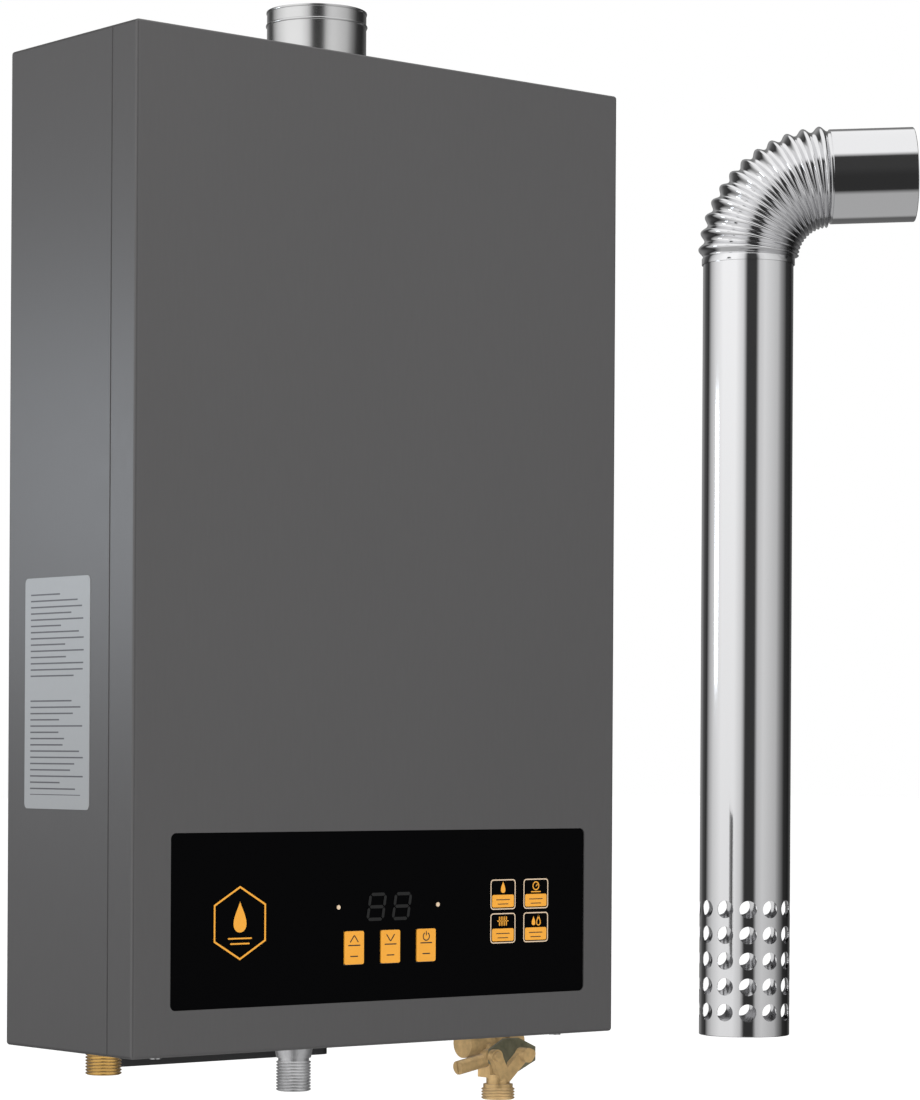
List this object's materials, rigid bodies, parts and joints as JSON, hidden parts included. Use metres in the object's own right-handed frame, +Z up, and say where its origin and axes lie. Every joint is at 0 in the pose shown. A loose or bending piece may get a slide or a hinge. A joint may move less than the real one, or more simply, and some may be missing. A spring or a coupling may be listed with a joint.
{
  "type": "gas water heater",
  "caption": "Wall-hung gas water heater with a glossy control panel, flue collar, pipe fittings, a working interior and a separate flue pipe with a crimped elbow.",
  "frame": {"origin": "middle of the four wall bolts, on the plane of the wall behind the case", "axes": "+Z up, +Y into the wall, +X to the right seen from the front"},
  "size_m": [0.6386, 0.1619, 0.6633],
  "materials": {
    "casing_paint": "satin titanium-grey paint",
    "cover_paint": "satin titanium-grey paint, fine vertical grain",
    "screw_steel": "zinc-plated",
    "collar_steel": "brushed stainless, grain round the tube",
    "gasket_grey": "soft fibre",
    "zinc_sheet": "zinc-plated sheet with spangle",
    "side_plate_silver": "matt silver",
    "panel_gloss": "gloss black",
    "housing_black": "moulded black",
    "key_orange": "satin orange",
    "display_dark": "unlit dark display",
    "board_green": "solder mask",
    "switch_black": "moulded",
    "lens_pale": "milky",
    "gland_rubber": "soft black",
    "outlet_brass": "bright machined brass",
    "inlet_brass": "cast brass, tan",
    "clamp_olive": "olive passivated steel",
    "copper": "bare copper",
    "turbine_white": "moulded white",
    "shaft_steel": "ground steel",
    "cast_aluminium": "cast, matt grey",
    "coil_black": "moulded black",
    "burner_steel": "stainless, slightly heat-tinted",
    "ceramic_white": "glazed",
    "hood_aluminium": "mill finish",
    "motor_dark": "dark enamel",
    "hose_silicone": "red-brown silicone",
    "thermostat_metal": "stamped",
    "flue_chrome": "mirror-polished stainless"
  },
  "bodies": {
    "heater": {"rear_casing": "casing_paint", "collar_screws": "screw_steel", "flue_collar": "collar_steel", "collar_gasket": "gasket_grey", "hanging_strips": "zinc_sheet", "chamber_brackets": "zinc_sheet", "burner_tray": "zinc_sheet", "side_label_plate": "side_plate_silver", "bottom_tray": "housing_black", "controller_board": "board_green", "cord_grommet": "gland_rubber", "hot_outlet_fitting": "outlet_brass", "pipe_nuts": "outlet_brass", "cold_inlet_fitting": "inlet_brass", "filter_cap": "inlet_brass", "water_valve_body": "inlet_brass", "clamp_screws": "inlet_brass", "clamp_plate": "clamp_olive", "chamber_shell": "copper", "exchanger_fins": "copper", "exchanger_tubes": "copper", "cold_water_pipe": "copper", "hot_water_pipe": "copper", "air_pressure_switch": "turbine_white", "controller_box": "turbine_white", "turbine_axle": "shaft_steel", "gas_inlet_fitting": "cast_aluminium", "gas_valve_body": "cast_aluminium", "gas_manifold": "cast_aluminium", "gas_riser": "cast_aluminium", "solenoid_coils": "coil_black", "igniter_module": "coil_black", "burner_bars": "burner_steel", "igniter_electrodes": "ceramic_white", "flame_sensor": "ceramic_white", "smoke_hood": "hood_aluminium", "fan_housing": "hood_aluminium", "fan_motor": "motor_dark", "transformer": "motor_dark", "pressure_tube": "hose_silicone", "overheat_thermostat": "thermostat_metal", "flue_tube": "flue_chrome"},
    "cover": {"front_cover": "cover_paint", "cover_screws": "screw_steel", "panel_window": "panel_gloss", "panel_housing": "housing_black", "display_module": "display_dark", "display_board": "board_green", "tact_switches": "switch_black", "indicator_lenses": "lens_pale"},
    "key_up": {"key_up": "key_orange"},
    "key_down": {"key_down": "key_orange"},
    "key_power": {"key_power": "key_orange"},
    "fan_wheel": {"fan_impeller": "hood_aluminium", "fan_shaft": "shaft_steel"},
    "turbine": {"flow_turbine": "turbine_white"},
    "gas_plunger": {"gas_plunger": "shaft_steel"},
    "drain_plug": {"drain_plug": "inlet_brass"},
    "elbow": {"flue_elbow": "flue_chrome", "flue_stub": "flue_chrome"}
  },
  "joints": [
    {"name": "cover_pull", "type": "slide", "parent": "heater", "child": "cover", "axis": [0, -1, 0], "range_m": [0, 0.25]},
    {"name": "key_up_press", "type": "slide", "parent": "cover", "child": "key_up", "axis": [0, 1, 0], "range_m": [0, 0.0006], "stiffness_N_per_m": 800, "springref_m": -0.0008},
    {"name": "key_down_press", "type": "slide", "parent": "cover", "child": "key_down", "axis": [0, 1, 0], "range_m": [0, 0.0006], "stiffness_N_per_m": 800, "springref_m": -0.0008},
    {"name": "key_power_press", "type": "slide", "parent": "cover", "child": "key_power", "axis": [0, 1, 0], "range_m": [0, 0.0006], "stiffness_N_per_m": 800, "springref_m": -0.0008},
    {"name": "fan_spin", "type": "hinge", "parent": "heater", "child": "fan_wheel", "pos_m": [-0.027, -0.058, 0.205], "axis": [0, 1, 0], "continuous": true},
    {"name": "turbine_spin", "type": "hinge", "parent": "heater", "child": "turbine", "pos_m": [0.15, -0.052, -0.2552], "axis": [0, 0, 1], "continuous": true},
    {"name": "gas_valve_open", "type": "slide", "parent": "heater", "child": "gas_plunger", "axis": [0, -1, 0], "range_m": [0, 0.003], "stiffness_N_per_m": 600, "springref_m": -0.002},
    {"name": "drain_turn", "type": "hinge", "parent": "heater", "child": "drain_plug", "pos_m": [0.1364, -0.0592, -0.3108], "axis": [-0.9848, 0, -0.1736], "range_deg": [0, 720]},
    {"name": "elbow_turn", "type": "hinge", "parent": "heater", "child": "elbow", "pos_m": [0.354, -0.068, 0.212], "axis": [0, 0, 1], "range_deg": [-180, 180]}
  ]
}
